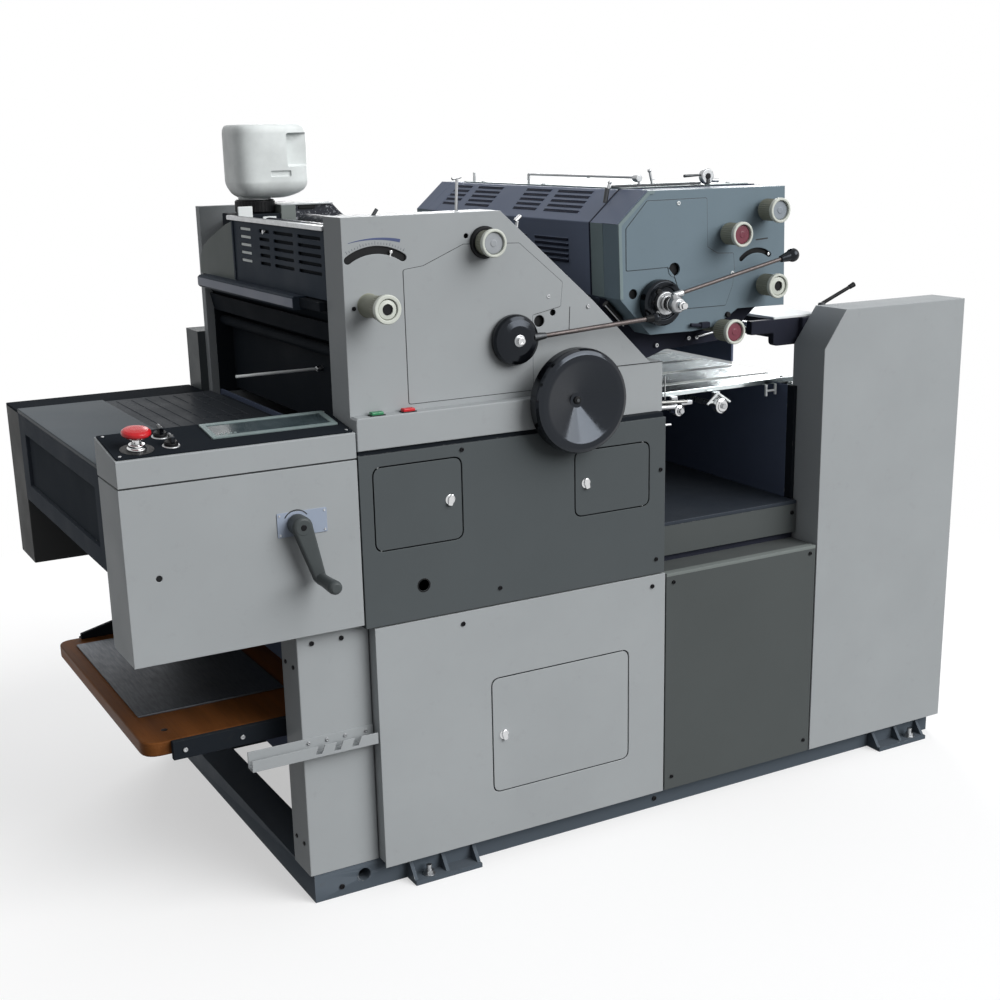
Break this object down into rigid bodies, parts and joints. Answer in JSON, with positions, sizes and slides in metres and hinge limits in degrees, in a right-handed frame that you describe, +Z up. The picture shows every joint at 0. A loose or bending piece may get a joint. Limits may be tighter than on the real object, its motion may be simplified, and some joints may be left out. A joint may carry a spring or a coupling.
{
  "type": "offset printing press",
  "caption": "Small-sheet offset printing press with two printing units over a feed board, feeder towers, a cranked delivery pile board, a control desk, a handwheel, levers and access doors.",
  "frame": {"origin": "bottom centre of the machine's bounding box, on the floor", "axes": "+X from the delivery to the feeder, +Y from the operator side to the drive side, +Z up"},
  "size_m": [2.088, 1.144, 1.574],
  "materials": {
    "base_slate": "satin enamel, worn edges",
    "light_grey": "semi-gloss enamel",
    "mid_grey": "semi-gloss enamel",
    "dark_grey": "satin enamel",
    "unit_grey": "satin enamel",
    "hood_dark": "gloss enamel",
    "frame_dark": "oily machined iron",
    "steel": "brushed",
    "polished": "polished",
    "black_plastic": "moulded, gloss",
    "red_plastic": "moulded",
    "cream_plastic": "moulded",
    "grey_plastic": "moulded",
    "rubber_roller": "inked rubber",
    "white_plastic": "translucent bottle",
    "pile_wood": "varnished board"
  },
  "bodies": {
    "machine": {"base_frame": "base_slate", "floor_brackets": "base_slate", "side_frames": "frame_dark", "delivery_columns": "light_grey", "cross_walls": "dark_grey", "lower_cover": "light_grey", "middle_cover": "dark_grey", "right_panel": "mid_grey", "drive_side_cover": "light_grey", "button_ledge": "light_grey", "unit_one_cover": "light_grey", "unit_one_housing": "frame_dark", "top_rollers": "rubber_roller", "slotted_guard": "unit_grey", "guide_bar": "steel", "water_bottle": "white_plastic", "bottle_stand": "steel", "unit_two_covers": "unit_grey", "unit_two_hood": "hood_dark", "control_box": "light_grey", "control_panel": "dark_grey", "far_box": "dark_grey", "delivery_table": "mid_grey", "notched_rail": "light_grey", "infeed_shelf": "dark_grey", "feeder_towers": "light_grey", "feed_board": "polished", "cross_shafts": "steel", "feeder_head": "frame_dark", "feeder_pile_board": "pile_wood"},
    "handwheel_body": {"handwheel": "black_plastic"},
    "left_lever_body": {"left_lever": "black_plastic"},
    "right_lever_body": {"right_lever": "black_plastic"},
    "adjuster_body": {"adjuster_knob": "cream_plastic"},
    "dial_body": {"dial": "grey_plastic"},
    "knob_a_body": {"roller_knob_a": "grey_plastic"},
    "knob_b_body": {"roller_knob_b": "red_plastic"},
    "knob_c_body": {"roller_knob_c": "cream_plastic"},
    "knob_d_body": {"roller_knob_d": "red_plastic"},
    "stop_body": {"stop_button": "red_plastic"},
    "selector_left_body": {"selector_left": "black_plastic"},
    "selector_right_body": {"selector_right": "black_plastic"},
    "crank_body": {"crank_handle": "black_plastic"},
    "pile_body": {"pile_board": "pile_wood", "pile_bars": "frame_dark", "steel_sheet": "steel"},
    "lower_door_body": {"lower_door": "light_grey"},
    "middle_left_door_body": {"middle_left_door": "dark_grey"},
    "middle_right_door_body": {"middle_right_door": "dark_grey"}
  },
  "joints": [
    {"name": "handwheel_turn", "type": "hinge", "parent": "machine", "child": "handwheel_body", "pos_m": [-0.089, -0.472, 1.01], "axis": [0, -1, 0], "continuous": true},
    {"name": "left_lever_turn", "type": "hinge", "parent": "machine", "child": "left_lever_body", "pos_m": [-0.209, -0.43, 1.14], "axis": [0, -1, 0], "range_deg": [-8, 40]},
    {"name": "right_lever_turn", "type": "hinge", "parent": "machine", "child": "right_lever_body", "pos_m": [0.15, -0.43, 1.191], "axis": [0, -1, 0], "range_deg": [-35, 30]},
    {"name": "adjuster_turn", "type": "hinge", "parent": "machine", "child": "adjuster_body", "pos_m": [-0.525, -0.43, 1.231], "axis": [0, -1, 0], "range_deg": [-150, 150]},
    {"name": "dial_turn", "type": "hinge", "parent": "machine", "child": "dial_body", "pos_m": [-0.27, -0.43, 1.338], "axis": [0, -1, 0], "range_deg": [-150, 150]},
    {"name": "crank_turn", "type": "hinge", "parent": "machine", "child": "crank_body", "pos_m": [-0.71, -0.48, 0.831], "axis": [0, -1, 0], "continuous": true},
    {"name": "lower_door_swing", "type": "hinge", "parent": "machine", "child": "lower_door_body", "pos_m": [0.046, -0.453, 0.3], "axis": [0, 0, 1], "range_deg": [0, 95]},
    {"name": "middle_left_door_swing", "type": "hinge", "parent": "machine", "child": "middle_left_door_body", "pos_m": [-0.532, -0.453, 0.83], "axis": [0, 0, -1], "range_deg": [0, 95]},
    {"name": "middle_right_door_swing", "type": "hinge", "parent": "machine", "child": "middle_right_door_body", "pos_m": [0.099, -0.453, 0.82], "axis": [0, 0, 1], "range_deg": [0, 95]},
    {"name": "selector_left_turn", "type": "hinge", "parent": "machine", "child": "selector_left_body", "pos_m": [-0.932, -0.364, 1.00809], "axis": [0, -0.1552, 0.9879], "range_deg": [-45, 45]},
    {"name": "selector_right_turn", "type": "hinge", "parent": "machine", "child": "selector_right_body", "pos_m": [-0.928, -0.418, 0.9996], "axis": [0, -0.1552, 0.9879], "range_deg": [-45, 45]},
    {"name": "stop_press", "type": "slide", "parent": "machine", "child": "stop_body", "axis": [0, 0.1552, -0.9879], "range_m": [0, 0.006], "stiffness_N_per_m": 400},
    {"name": "pile_lift", "type": "slide", "parent": "machine", "child": "pile_body", "axis": [0, 0, 1], "range_m": [-0.27, 0.195]},
    {"name": "roller_knob_a_turn", "type": "hinge", "parent": "machine", "child": "knob_a_body", "pos_m": [0.435, -0.43, 1.374], "axis": [0, -1, 0], "continuous": true},
    {"name": "roller_knob_b_turn", "type": "hinge", "parent": "machine", "child": "knob_b_body", "pos_m": [0.333, -0.43, 1.327], "axis": [0, -1, 0], "continuous": true},
    {"name": "roller_knob_c_turn", "type": "hinge", "parent": "machine", "child": "knob_c_body", "pos_m": [0.435, -0.43, 1.211], "axis": [0, -1, 0], "continuous": true},
    {"name": "roller_knob_d_turn", "type": "hinge", "parent": "machine", "child": "knob_d_body", "pos_m": [0.318, -0.43, 1.119], "axis": [0, -1, 0], "continuous": true}
  ]
}
